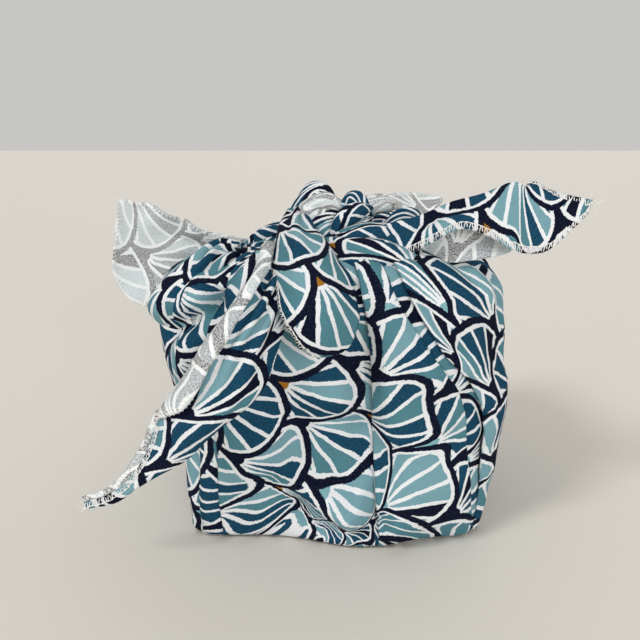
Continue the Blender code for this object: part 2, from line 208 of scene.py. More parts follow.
LEFT_CORNER = (
    ((-42, -14, 142), (-34, -4, 150), (-26, 6, 154), 2.0),
    ((-66, -8, 130), (-60, 7, 142), (-50, 12, 151), 2.0),
    ((-84, -6, 118), (-80, 14, 137), (-68, 10, 154), 2.2),
    ((-104, -2, 112), (-98, 16, 138), (-82, 8, 160), 2.3),
    ((-121, 4, 116), (-110, 16, 142), (-92, 8, 165), 2.3),
    ((-131, 8, 132), (-118, 13, 150), (-106, 9, 171), 2.2),
    ((-128, 8, 152), (-122, 11, 160), (-116, 9, 173), 2.0),
    ((-125, 8, 173), (-123, 9, 174), (-121, 8, 175), 2.0),
)
FRONT_CORNER = (
    ((-34, -60, 154), (-24, -60, 155), (-14, -50, 150), 2.0, 7.0),
    ((-38, -80, 143), (-29, -85, 141), (-20, -74, 138), 2.0, 7.5),
    ((-46, -90, 133), (-36, -96, 128), (-24, -82, 127), 2.1, 8.0),
    ((-56, -97, 120), (-44, -103, 114), (-27, -90, 114), 2.3, 8.5),
    ((-65, -98, 105), (-50, -107, 99), (-32, -96, 100), 2.4, 10.0),
    ((-75, -96, 92), (-59, -108, 86), (-43, -101, 86), 2.3, 12.5),
    ((-80, -98, 82), (-70, -107, 76), (-60, -103, 71), 2.2, 4.0),
    ((-89, -98, 65), (-81, -103, 61), (-73, -101, 60), 2.1, 0.3),
    ((-98, -98, 50), (-94, -101, 49), (-91, -100, 48), 2.0, 0.3),
    ((-109, -97, 41), (-107, -99, 39), (-105, -98, 38), 2.0, 0.3),
    ((-122, -95, 36), (-121, -96, 34), (-119, -95, 33), 2.0, 0.3),
)
BACK_CORNER = (
    ((-6, 16, 156), (2, 14, 164), (2, 8, 152), 2.0),
    ((12, 42, 166), (24, 36, 166), (30, 30, 154), 2.0),
    ((30, 60, 172), (44, 56, 160), (50, 46, 150), 2.2),
    ((48, 74, 174), (60, 72, 162), (66, 60, 153), 2.2),
    ((64, 80, 173), (70, 80, 167), (73, 74, 163), 2.0),
    ((73, 82, 172), (75, 81, 171), (77, 80, 169), 2.0),
)
PETAL = (
    ((-25, -22, 170), (-19, -25, 173), (-14, -20, 169), 2.0),
    ((-28, -44, 163), (-19, -52, 168), (-8, -44, 163), 2.0),
    ((-30, -67, 151), (-15, -80, 158), (2, -66, 152), 2.1),
    ((-28, -84, 139), (-11, -95, 146), (9, -78, 142), 2.3),
    ((-24, -96, 128), (-8, -103, 133), (11, -88, 130), 2.4),
    ((-17, -100, 118), (-6, -104, 121), (9, -94, 119), 2.3),
    ((-10, -99, 112), (-5, -101, 112), (3, -97, 113), 2.0),
)
LEFT_FOLD = (
    ((-44, -26, 149), (-50, -38, 154), (-48, -42, 147), 2.0),
    ((-56, -26, 150), (-61, -42, 155), (-52, -50, 140), 2.1),
    ((-70, -28, 146), (-69, -56, 148), (-56, -56, 129), 2.5),
    ((-82, -32, 138), (-80, -62, 139), (-65, -57, 121), 2.6),
    ((-91, -36, 126), (-92, -59, 127), (-75, -54, 113), 2.6),
    ((-90, -36, 114), (-94, -50, 117), (-80, -50, 108), 2.3),
    ((-78, -36, 106), (-82, -42, 108), (-76, -44, 107), 2.0),
)
TURNED_RADIUS, UNDER_RADIUS = 1.6, 0.9  # of a hem turned back, and of a fold under
TURNED_LEAST, TURNED_STEPS = 0.3, 8
FOLDED_UNDER = ("front_corner",)  # folded lengthways; past NEAR_TIP both hems lie side by side
NEAR_TIP = 0.52
SETTLED = 0.7  # the share of a strip's length over which its gathers open out
# Rows, steps along, steps across, gathers at the root, their rise, hem flutter, the fans' direction
# and their place, and the shares of the front and the back hem that carry stitches.
STRIPS = {
    "right_corner": (RIGHT_CORNER, 60, 38, 3.5, 2.0, 1.2, 200.0, 5.0, 12.0, (0.08, 1.0), (0.59, 1.0)),
    "left_corner": (LEFT_CORNER, 50, 34, 3.5, 2.4, 1.2, 90.0, 3.0, 0.0, (0.25, 1.0), (0.20, 1.0)),
    "front_corner": (FRONT_CORNER, 64, 32, 3.5, 1.8, 0.8, 60.0, 0.0, 16.0, (0.44, 1.0), (0.50, 1.0)),
    "back_corner": (BACK_CORNER, 36, 28, 3.5, 2.0, 1.2, 150.0, 8.0, 0.0, (0.25, 1.0), (0.25, 1.0)),
    "petal": (PETAL, 48, 36, 2.5, 1.2, 0.5, 288.0, 15.0, 21.0, (0.40, 1.0), (1.0, 1.0)),
    "left_fold": (LEFT_FOLD, 34, 30, 4.5, 2.4, 0.5, 250.0, 6.0, 4.0, (1.0, 1.0), (1.0, 1.0)),
}

# Gathered lengths that make up the knot: from, by way of, to, the radii there, folds round it, turns
# that they twist, the degree where the free fold lies, and the side that shows.
PRINTED, WRONG = 0, 1
ROLLS = {
    "right_shoulder": ((-4, -46, 151), (20, -60, 151), (48, -50, 143), 8.0, 10.0, 4.0, 4, 0.3, 300, PRINTED),
    "back_left_roll": ((-16, -2, 154), (-33, 0, 155), (-52, 10, 144), 7.0, 7.0, 3.0, 5, 0.3, 60, PRINTED),
    "back_right_roll": ((6, 6, 156), (36, 26, 156), (62, 42, 143), 7.0, 10.5, 4.0, 4, 0.3, 40, PRINTED),
    "knot_core": ((-18, -22, 150), (0, -20, 161), (18, -20, 150), 12.0, 15.0, 12.0, 7, 0.3, 20, PRINTED),
    "knot_back": ((-20, -8, 152), (-4, 4, 163), (14, 2, 152), 9.0, 13.0, 9.0, 6, -0.3, 90, PRINTED),
    "knot_curl": ((-22, -22, 164), (-10, -21, 181), (1, -17, 172), 3.4, 5.2, 2.4, 2, 0.7, 330, PRINTED),
    "knot_crumple": ((-19, -27, 159), (-7, -24, 173), (7, -20, 163), 5.0, 8.0, 3.0, 8, 0.3, 62, WRONG),
    "knot_loop": ((4, -8, 164), (12, -6, 176), (21, -16, 166), 2.0, 4.6, 1.5, 2, 0.5, 330, PRINTED),
    "knot_leaf": ((-1, -38, 158), (8, -34, 169), (21, -22, 172), 1.0, 6.2, 1.0, 2, 0.08, 315, PRINTED),
    "knot_stripe": ((-1, -40, 155), (8, -38, 160), (20, -28, 167), 3.0, 4.4, 1.2, 3, 0.5, 300, PRINTED),
    "knot_band": ((-4, -42, 151), (16, -42, 158), (44, -34, 158), 5.5, 8.5, 2.0, 3, 0.12, 320, PRINTED),
    "knot_twist": ((7, -53, 147), (20, -56, 152), (38, -55, 150), 1.6, 5.6, 1.2, 3, 0.35, 280, PRINTED),
    "knot_tuck": ((28, -14, 157), (41, -17, 167), (55, -22, 160), 2.0, 5.0, 1.2, 3, 0.4, 300, PRINTED),
    "knot_fold": ((10, 8, 160), (24, 12, 171), (42, 26, 168), 3.5, 6.0, 1.2, 3, 0.25, 60, WRONG),
    "back_tuck": ((-8, 6, 160), (-2, 26, 164), (-14, 50, 150), 4.0, 6.0, 1.5, 3, 0.35, 20, PRINTED),
    "side_tuck": ((16, -4, 158), (40, 2, 160), (66, -2, 148), 4.0, 7.0, 1.5, 4, 0.25, 320, PRINTED),
}
ROLL_STEP_LONG = 2.9
ROLL_STEP_ROUND = 1.75
HIDDEN_TURN = 1.0
ROLL_HEM = (0.06, 0.94)  # the share of a roll's free fold that is hem, on those that show the wrong side
# How rolls crease, for the PRINTED ones and for the WRONG ones: depth of their troughs, dents as a
# share of the radius, the dents' size, and how much of the print is gathered in round them.
CREASING = ((1.0, 0.035, 7.0, 1.8), (1.6, 0.13, 4.5, 3.2))
TROUGH_DEPTH, CREASE_DEPTH = 0.30, 0.07  # shares of a roll's radius

# The hem: a white three-thread overlock, as a home overlocker sews it.
STITCH_PITCH = 2.5
HEM_WIDTH = 3.3
THREAD_THICKNESS = 0.5
THREAD_STEPS = 8
# One stitch of each thread: share of the pitch, share of the hem width in from the edge, and side
# of the cloth. The number first is how many points it is drawn with.
LOOPER = (
    10,
    (0.00, -0.12, 0.0),
    (0.06, 0.30, 1.0),
    (0.16, 0.80, 1.0),
    (0.28, 1.02, 1.0),
    (0.40, 1.02, 1.0),
    (0.52, 0.80, 1.1),
    (0.61, 0.30, 1.2),
    (0.66, -0.12, 0.0),
    (0.74, 0.60, -1.0),
    (0.83, 0.95, -1.0),
    (0.92, 0.60, -1.0),
    (1.00, -0.12, 0.0),
)
NEEDLE = (4, (0.0, 1.0, 0.2), (0.3, 1.0, 1.0), (0.7, 1.0, 1.0), (1.0, 1.0, 0.2))
STITCH_LUCK = (0.9, 1.1)  # how a stitch's width varies
# Thread ends left at the cloth's corners: from, then which way they trail.
THREAD_ENDS = (
    ((122, -70, 178), (5.5, -1.0, 0.6), (1.0, 0.4, 1.4)),
    ((121, -70, 178), (-1.2, -0.5, 4.5), (0.6, 0.3, 1.2)),
    ((122, -71, 177), (3.0, -1.5, -2.2), (-1.0, 0.3, -1.0)),
    ((121, -69, 179), (2.6, 1.0, 2.4), (1.0, 0.2, -0.6)),
    ((-123, 9, 173), (-2.4, 0.4, 2.4), (-1.0, 0.2, 0.2)),
    ((-122, 9, 173), (1.4, 0.8, 3.0), (1.0, 0.3, -0.4)),
    ((-121, -96, 33), (-4.6, -0.6, 0.6), (-0.4, 0.2, 1.6)),
    ((-121, -97, 34), (-3.0, -0.8, -1.8), (0.6, 0.2, -0.4)),
    ((-120, -96, 34), (-2.4, -0.4, 2.8), (-1.0, 0.1, 0.4)),
    ((76, 81, 170), (3.6, 1.0, 1.2), (0.2, 0.4, 1.0)),
    ((-1, -93, 113), (0.6, -0.5, -3.4), (0.8, 0.1, 0.6)),
)

# The print, a plain traditional one: overlapping scales, each ribbed like an open fan.
FAN_RADIUS = 25.0
FAN_ACROSS, FAN_UP = 47.0, 24.0  # from one scale to the next, and from row to row
FAN_PIVOT = 0.62  # how far below its middle a fan's ribs meet, as a share of its radius
FAN_RIBS = 9.8  # in half a turn
RIB_GAP = 1.0
PIVOT_RADIUS, PIVOT_GAP_RADIUS = 5.4, 7.0
BORDER_FROM, RING_FROM = 0.795, 0.87  # the bare border and the dark ring, as shares of the radius
# How a printed edge wanders: cells in a metre, detail, how far.
EDGE_WANDER = ((110.0, 3.0, 2.4), (1700.0, 1.0, 1.1))
# Inks: the colour of a fan's ribs and of its pivot, each with the share of luck where it starts.
BARE_COTTON = "#e0e2e4"
UNPRINTED_COTTON = "#f1f3f1"  # the wrong side's ground, which no ink has greyed
NAVY = "#080f24"
RIB_COLOURS = (("#0f4059", 0.0), ("#4a7b86", 0.47), ("#7099a3", 0.73), (NAVY, 0.94))
PIVOT_COLOURS = ((NAVY, 0.0), ("#9a6818", 0.42), ("#7aa9b0", 0.72))
# The cloth's two sides: ground, specks in a metre, each about as wide as a drawn thread, the noise
# at which they start and are full, how bare the cloth is at both, and how far dark ink strikes through.
COTTON_SIDES = {
    "printed_cotton_face": (BARE_COTTON, 1900.0, (0.56, 0.74), (0.0, 0.30), 0.10),
    "printed_cotton_wrong_side": (UNPRINTED_COTTON, 1300.0, (0.38, 0.62), (0.83, 0.46), 0.26),
}
DARK_INK = 0.10  # brightness up to which an ink strikes through
SOAKED = (0.35, 1.6)  # how strongly it does so, at the inked threads and at the specks
COTTON_ROUGHNESS, COTTON_SPECULAR = 0.86, 0.06
WEAVE, SLUB = 380.0, 1400.0  # threads 0.83 mm apart, and the finer unevenness of their yarn
# Painted shade: the weave's hollows are darkened in the colour, and its tops are painted a little lighter.
TOOTH_PAINTED_SHADE = (0.35, 1.25, 0.86, 1.04)  # from the weave's hollows to its tops, and how light they are
TOOTH_STRENGTH, TOOTH_HEIGHT = 0.45, 0.25
THREAD_WHITES, THREAD_ROUGHNESS, FUZZ = ("#d9d7d4", "#f6f5f2"), 0.8, 2600.0

# The stage, in metres. Lights: name, where it shines from, strength, how wide it is in degrees.
LIGHTS = (
    ("window", (-0.75, -0.60, 0.85), 1.15, 16.0),
    ("fill", (0.3, -1.0, 0.14), 1.75, 30.0),
    ("back", (0.2, 1.0, 0.9), 0.35, 60.0),
)
SKY_COLOUR, SKY_STRENGTH = "#efeeeb", 0.66
FLOOR_COLOUR, FLOOR_HALF = "#dcd7cf", 30.0
CAMERA_PLACE, CAMERA_TILT, CAMERA_LENS = (-0.007, -0.405, 0.205), 76.0, 39.375

MATH, VECTOR = "ShaderNodeMath", "ShaderNodeVectorMath"
NOISE, MIX, MAP_RANGE = "ShaderNodeTexNoise", "ShaderNodeMix", "ShaderNodeMapRange"


def linear(colour):
    """An sRGB hex colour as linear red, green, blue and alpha."""
    parts = [int(colour[k : k + 2], 16) / 255 for k in (1, 3, 5)]
    return (*(c / 12.92 if c <= 0.04045 else ((c + 0.055) / 1.055) ** 2.4 for c in parts), 1.0)


def node(tree, kind, inputs=(), out=0, **settings):
    """Adds a node, sets its properties, and gives one of its outputs. Inputs are values or other
    nodes' outputs, in their order or by name or number."""
    made = tree.nodes.new(kind)
    for name, value in settings.items():
        setattr(made, name, value)
    for name, value in inputs.items() if isinstance(inputs, dict) else enumerate(inputs):
        if isinstance(value, bpy.types.NodeSocket):
            tree.links.new(value, made.inputs[name])
        else:
            made.inputs[name].default_value = value
    return made.outputs[out]


def add_object(name, data):
    """An object that shows that mesh, lamp or lens, in the scene."""
    made = bpy.data.objects.new(name, data)
    bpy.context.scene.collection.objects.link(made)
    return made


def smooth_step(value):
    value = np.clip(value, 0.0, 1.0)
    return value * value * (3.0 - 2.0 * value)


def through_rows(rows, at):
    """A smooth curve through the rows of a table, read at those places counted in rows."""
    rows = np.array(rows, float)
    first = np.minimum(at.astype(int), len(rows) - 2)
    part = (at - first)[:, None]
    padded = np.vstack([2 * rows[0] - rows[1], rows, 2 * rows[-1] - rows[-2]])
    before, here, there, after = (padded[first + k] for k in range(4))
    return 0.5 * (
        2 * here
        + (there - before) * part
        + (2 * before - 5 * here + 4 * there - after) * part**2
        + (3 * here - before - 3 * there + after) * part**3
    )


def unit(vectors):
    return vectors / np.maximum(np.linalg.norm(vectors, axis=-1, keepdims=True), 1e-9)


def noise(places, size, seed):
    """Smooth noise from -1 to 1 with cells of that size; places end in three numbers."""
    scaled = np.asarray(places, float) / np.asarray(size, float) + 31.7 * seed
    cell = np.floor(scaled)
    part = scaled - cell
    part = part * part * (3 - 2 * part)
    total = 0.0
    for corner in itertools.product((0, 1), repeat=3):
        key = (cell + corner) @ np.array((127.1, 311.7, 74.7))
        weight = np.where(np.array(corner) == 1, part, 1 - part).prod(-1)
        total = total + weight * ((np.sin(key) * 43758.5453) % 1.0)
    return 2 * total - 1


def lengths(points, axis):
    """Distance walked along that axis of a grid of points, from 0."""
    steps = np.linalg.norm(np.diff(points, axis=axis), axis=-1)
    start = np.zeros_like(np.take(steps, [0], axis=axis))
    return np.concatenate([start, np.cumsum(steps, axis=axis)], axis=axis)


def turn_print(across, up, direction, shift_across, shift_up):
    """Cloth millimetres across and up, turned so that the fans point in that direction."""
    angle = math.radians(direction)
    along = across * math.cos(angle) + up * math.sin(angle)
    beside = across * math.sin(angle) - up * math.cos(angle)
    return np.stack([beside + shift_across, along + shift_up], axis=-1)


def patch_of(points, across, up, fans, wraps=False, flip=False):
    """A patch of cloth: its points and their places in the print, flipped where it would face in."""
    place = turn_print(across, up, *fans)
    if flip:
        points, place = points[:, ::-1], place[:, ::-1]
    return {"points": points, "near": place, "far": place, "wraps": wraps}


# The wall.


def q_past(q, other):
    """How far q lies past another, the shorter way round."""
    return (q - other + FACES / 2) % FACES - FACES / 2


def pleat_place(pleat, height):
    return np.interp(height, PLEAT_HEIGHTS, pleat[0])


def wall_columns():
    """Every column of the wall, as arrays: the pleat that it belongs to, or -1 on plain cloth, its
    share and millimetres from the pleat's edge, its layer, and on plain cloth its share of the gap."""
    columns = []
    for k, pleat in enumerate(PLEATS):
        upper = pleat[4]
        section = PLEAT_SECTION if upper == 1 else PLEAT_SECTION[::-1]
        columns += [(k, share, past, layer, 0.0) for share, past, layer in section]
        following = PLEATS[(k + 1) % len(PLEATS)]
        gap = following[0][4] + (FACES if k == len(PLEATS) - 1 else 0) - pleat[0][4]
        steps = max(2, round(gap * WIDTH / WALL_STEP))
        columns += [(k, 0.0, 0.0, -1.0, n / steps) for n in range(1, steps)]
    return np.array(columns).T


def around(q, half_width, half_depth, corner, shift):
    """The point at q on a rounded rectangle, its outward direction and its millimetres for each q."""
    q = (q + 0.5) % FACES - 0.5
    face = np.round(q).astype(int) % FACES
    along = 2.0 * (q - np.round(q))
    turn = face * math.pi / 2
    x = (np.cos(turn) * along + np.sin(turn)) * half_width
    y = (np.sin(turn) * along - np.cos(turn)) * half_depth
    inner_x = np.clip(x, corner - half_width, half_width - corner)
    inner_y = np.clip(y, corner - half_depth, half_depth - corner)
    away = unit(np.stack([x - inner_x, y - inner_y], axis=-1) + 1e-9)
    place = np.stack([inner_x, inner_y], axis=-1) + away * corner
    place[:, 0] += shift
    return place, away, np.where(face % 2 == 0, 2 * half_width, 2 * half_depth)


def pleat_rise(pleat, distance, height):
    """How far a pleat's top layer stands out at that distance in from its edge."""
    _, lift, reach, _, _, low, high = pleat
    strength = smooth_step((height - low) / PLEAT_GROWS) * smooth_step((high - height) / PLEAT_SINKS)
    uneven = 1.0 + 0.3 * math.sin(height / 11.0 + 40 * pleat[0][0])
    rise = LEAST_LIFT + (lift - LEAST_LIFT) * strength * uneven
    roll_over = 1.0 - 0.35 * smooth_step(1 - distance / 5.0)
    return rise * PLEAT_RELIEF * roll_over * (1.0 - smooth_step(distance / reach))


def fold_offset(q, height, scale):
    """How far the soft folds move the cloth out, and how far the print moves across and up."""
    moved, slip = np.zeros_like(q), np.zeros((len(q), 2))
    for start_q, start_z, end_q, end_z, rise, width, slack in FOLDS:
        beside = q_past(q, start_q) * scale
        run, climb = (end_q - start_q) * scale, end_z - start_z
        long = np.hypot(run, climb)
        share = (beside * run + (height - start_z) * climb) / long**2
        past = (share - np.clip(share, 0, 1)) * long
        across = ((height - start_z) * run - beside * climb) / long
        moved += rise * np.exp(-((np.hypot(across, past) / width) ** 2))
        if slack:
            fade = np.exp(-((np.minimum(across, 0) / SLACK_BESIDE) ** 2) - (past / SLACK_PAST) ** 2)
            pull = slack * (np.tanh(across / (0.8 * width)) - 1) * fade
            slip += np.stack([-climb / long, run / long], axis=-1) * pull[:, None]
    return moved, slip


def wall_offset(q, height, half_width, scale):
    """How far the wall stands out but for its pleats, how far the print slips across and up, and
    how much of the first is soft folds."""
    folded, slip = fold_offset(q, height, scale)
    moved = folded.copy()
    turn = q * math.pi / 2
    here = np.stack([np.cos(turn) * WRINKLED_RADIUS, np.sin(turn) * WRINKLED_RADIUS, 0 * q + height], -1)
    for rise, size_round, size_up, seed in WRINKLES:
        moved += rise * noise(here, (size_round, size_round, size_up), seed)
    rise, size_round, size_up, seed = RIDGES
    moved += rise * (0.4 - np.abs(noise(here, (size_round, size_round, size_up), seed)))
    moved *= smooth_step(height / FLAT_FOOT)
    for bag_q, width, tall, out in FOOT_BAGS:
        moved += out * np.exp(-((q_past(q, bag_q) / width) ** 2) - (max(height - BAG_FULL, 0) / tall) ** 2)
    # The gathers start at an uneven height, and die out again where the cloth goes into the knot.
    low = (GATHERS_FROM + 0.10 * np.sin(3 * turn + 0.6) + 0.05 * np.sin(7 * turn)) * HEIGHT
    grown = smooth_step((height - low) / GATHERS_GROW) * min(1.0, half_width / (0.15 * WIDTH))
    calm = 1 - CALM * np.exp(-((q_past(q, CALM_Q) / CALM_WIDTH) ** 2))
    wave = GATHERS_ROUND * turn / 2 + 0.6 * np.sin(2 * turn + 1.0)
    fine = FINE_GATHERS_ROUND * turn / 2 + 2.0 * np.sin(3 * turn) + height / 40
    for rise, phase in ((GATHER_RISE, wave), (FINE_GATHER_RISE, fine)):
        moved += grown * calm * rise * (1 - 1.9 * np.abs(np.cos(phase)) ** 3)
    return moved, slip, folded * smooth_step(height / FLAT_FOOT)


def hidden_depths(gaps, upper, half_width):
    """How deep each pleat goes under: less at the gathers, and never so far that it meets the next."""
    room = np.where(upper == 1, gaps, np.roll(gaps, 1))
    shared = np.where(upper == 1, np.roll(upper, -1), np.roll(upper, 1)) == -upper
    depth = np.array([pleat[3] for pleat in PLEATS]) * (0.35 + 0.65 * min(1.0, half_width / 50.0))
    return np.maximum(0.8, np.minimum(depth, np.where(shared, 0.45 * room - 1, 0.85 * room - 2)))


def wall_ring(section, columns):
    """One ring of the wall: its points, the same without the soft folds, their q, and how far the
    print slips there, across and up."""
    height, half_width, half_depth, corner, shift = section
    pleat_of, share, past, layer, gap_share = columns
    pleat_of = pleat_of.astype(int)
    at = min(height, HEIGHT)
    upper = np.array([pleat[4] for pleat in PLEATS])
    edge = np.array([pleat_place(pleat, at) for pleat in PLEATS])
    following = np.append(edge[1:], edge[0] + FACES)
    _, _, scales = around(edge, half_width, half_depth, corner, shift)
    depth = hidden_depths((following - edge) * scales, upper, half_width)
    start = edge + np.where(upper == 1, TOP_EDGE, UNDER_EDGE) / scales
    end = following - np.roll(np.where(upper == 1, UNDER_EDGE, TOP_EDGE) / scales, -1)
    plain = layer < 0
    hidden = ~plain & (share > 0)
    distance = share * depth[pleat_of] + past
    q = np.where(
        plain,
        start[pleat_of] + (end - start)[pleat_of] * gap_share,
        edge[pleat_of] + upper[pleat_of] * distance / scales[pleat_of],
    )
    place, away, scale = around(q, half_width, half_depth, corner, shift)
    out, slip, folded = wall_offset(q, height, half_width, scale)
    # Every pleat stands out, and so does the cloth that its top layer lies over.
    inward = [q_past(q, edge[k]) * scale * upper[k] for k in range(len(PLEATS))]
    for k, pleat in enumerate(PLEATS):
        rise = pleat_rise(pleat, np.maximum(inward[k], 0), at)
        own = (pleat_of == k) & ~plain
        out += np.where(own, rise * layer / 2, np.where(inward[k] > 0, rise, 0.0))
    # The hidden layers never come out through the cloth that covers them.
    for k in range(len(PLEATS)):
        over = plain & (inward[k] > -1) & (inward[k] < depth[k] + 3)
        under = hidden & (pleat_of == k)
        if over.any():
            out[under] = np.minimum(out[under], out[over].min())
    dip = HIDDEN_DIP + (HIDDEN_DIP_TOP - HIDDEN_DIP) * smooth_step((height - 0.7 * HEIGHT) / 20)
    out -= np.where(hidden, dip * (1 - 0.2 * layer), 0.0)
    # Over the top a fold stands up rather than out.
    lean = LEAN * smooth_step((height - LEAN_FROM * HEIGHT) / LEAN_OVER)
    ring, unfolded = (
        np.column_stack([place + away * (stands * (1.0 - lean))[:, None], height + lean * stands])
        for stands in (out, out - folded)
    )
    most, from_x, from_y, over_x, over_y, from_share, over_height = BACK_LEFT_SAG
    sag = smooth_step((from_x - ring[:, 0]) / over_x) * smooth_step((ring[:, 1] - from_y) / over_y)
    sag = sag * most * smooth_step((height - from_share * HEIGHT) / over_height)
    for points in (ring, unfolded):
        points[:, 2] -= sag
    return ring, unfolded, q, slip


def wall_sections():
    """The sections at even steps up the wall, and how far up the cloth each one lies."""
    table = np.array(SECTIONS) * (HEIGHT, WIDTH, DEPTH, WIDTH, 1.0)
    at = np.linspace(0, len(table) - 1, 1200)
    walked = lengths(through_rows(table, at)[None, :, :2], 1)[0]
    sections = through_rows(table, np.interp(np.linspace(0, walked[-1], WALL_ROWS), walked, at))
    return sections, lengths(sections[None, :, :2], 1)[0]


def wall():
    """The wall as a patch. Each stretch has its own print place, so a print place is kept for the
    near and the far side of every column."""
    columns = wall_columns()
    first = np.flatnonzero((columns[0] == STRETCHES[0][0]) & (columns[3] == TURN_BACK))[0]
    columns = np.roll(columns, -first, axis=1)
    pleat_of, layer = columns[0], columns[3]
    sections, up = wall_sections()
    half_width = sections[:, 1:2]
    rings = zip(*(wall_ring(section, columns) for section in sections))
    points, unfolded, q, slip = (np.array(rows) for rows in rings)
    points[0, :, 2] = CLOTH_THICKNESS / 2
    unfolded, slip = (np.concatenate([grid, grid[:, :1]], axis=1) for grid in (unfolded, slip))
    walked = lengths(unfolded, 1)
    count = len(layer)
    seams = [np.flatnonzero((pleat_of == row[0]) & (layer == TURN_BACK))[0] for row in STRETCHES]
    near, far = np.zeros((*q.shape, 2)), np.zeros((*q.shape, 2))
    for (_, pleat, middle, *fans), start, end in zip(STRETCHES, seams, seams[1:] + [count]):
        anchor = np.flatnonzero((pleat_of == pleat) & (layer < 0))[:1]
        stretch = np.arange(start, end + 1)
        across = walked[:, stretch] - walked[:, anchor] + q_past(q[:, anchor], middle) * 2 * half_width
        across *= 1 + DRAWN_IN * smooth_step((DRAWN_FROM - half_width) / (DRAWN_FROM - DRAWN_TO))
        across += slip[:, stretch, 0]
        place = turn_print(across, up[:, None] + slip[:, stretch, 1], *fans)
        near[:, stretch[:-1]] = place[:, :-1]
        far[:, stretch[1:] % count] = place[:, 1:]
    inner = np.where(layer < 0, INNER_SIDE, CLOTH_THICKNESS / 2)
    return {"points": points, "near": near, "far": far, "wraps": True, "inner": inner[None, :]}


def base(rim):
    """The parcel's underside: the wall's foot drawn in to the middle, with its print."""
    middle = np.array((SECTIONS[0][4], 0, 0))
    points = np.array([rim * (s, s, 1) + middle * (1 - s) for s in (0.0, 0.35, 0.7, 0.93, 1.0)])
    points[0, :, :2] += 1e-3 * unit(rim)[:, :2]
    return patch_of(points, points[..., 0], -points[..., 1], STRETCHES[0][3:], wraps=True)


def tucked_corner(name):
    """A corner folded flat over the top before the knot is tied: out of sight, under the gathers."""
    front, back, half, height = TUCKED[name]
    share = np.linspace(0, 1, 15)[:, None]
    across = np.linspace(-1, 1, 15)[None, :]
    y = front + (back - front) * share + 0 * across
    x = half * across * (1 - 0.55 * share)
    z = height - 2.0 * across**2 + 1.2 * np.sin(5 * share) + 0 * y
    points = np.stack([x, y, z], axis=-1)
    if back < front:
        points = points[:, ::-1]
    return patch_of(points, points[..., 0], points[..., 1], (0.0, 0.0, 0.0))


# Free corners.


def turned_hem(points, width, steps):
    """Adds the front hem's cloth before the first column of a strip. Where it is wide it is turned
    back and lies on the strip, and where it narrows it opens out flat."""
    tangent = unit(points[:, 0] - points[:, 2])
    ahead = unit(np.gradient(points[:, 0], axis=0))
    out = unit(np.cross(ahead, -tangent))
    width = width[:, None]
    radius = np.minimum(TURNED_RADIUS, width / 3)
    turned = smooth_step((width - 1.0) / 5.0)
    added = []
    for angle in np.linspace(30, 180, 6):
        a = math.radians(angle)
        back = radius * (math.sin(a) * tangent + (1 - math.cos(a)) * out)
        added.append(points[:, 0] + turned * back + (1 - turned) * tangent * width * angle / 360)
    normals = outward(points[:, ::-1], False)[:, ::-1]
    walked = lengths(points, 1)
    for share in np.linspace(0, 1, steps)[1:]:
        lift = 1.1 * math.sin(math.pi * share) * width / 10 + 2 * radius
        lies, away = (
            np.array([
                [np.interp(far, steps_in, line[:, k]) for k in range(3)]
                for far, steps_in, line in zip(width[:, 0] * share, walked, grid)
            ])
            for grid in (points, normals)
        )
        flat = points[:, 0] + tangent * width * (1 + share) / 2
        added.append(turned * (lies + away * lift) + (1 - turned) * flat)
    return np.concatenate([np.array(added[::-1]).transpose(1, 0, 2), points], axis=1)


def folded_under(points, past):
    """Adds cloth that turns under at a strip's last column and goes back below it, near the tip
    until it shows that many millimetres past the first column."""
    tangent = unit(points[:, -1] - points[:, -3])
    out = unit(np.cross(unit(np.gradient(points[:, -1], axis=0)), tangent))
    chord = points[:, 0] - points[:, -1]
    width = np.linalg.norm(chord, axis=-1, keepdims=True)
    long = np.linspace(0, 1, len(points))[:, None]
    near_tip = smooth_step((long - NEAR_TIP) / 0.09)
    shown = past * near_tip * (1 - 0.6 * smooth_step((long - 0.7) / 0.3))
    reach = width * (0.5 + 0.5 * near_tip) + shown
    radius = np.minimum(UNDER_RADIUS, width / 4)
    added = []
    for angle in (40, 80, 120, 160):
        a = math.radians(angle)
        added.append(points[:, -1] + radius * (math.sin(a) * tangent - (1 - math.cos(a)) * out))
    for share in np.linspace(0, 1, 10):
        added.append(points[:, -1] - out * radius * 2.2 + unit(chord) * reach * share)
    return np.concatenate([points, np.array(added).transpose(1, 0, 2)], axis=1)


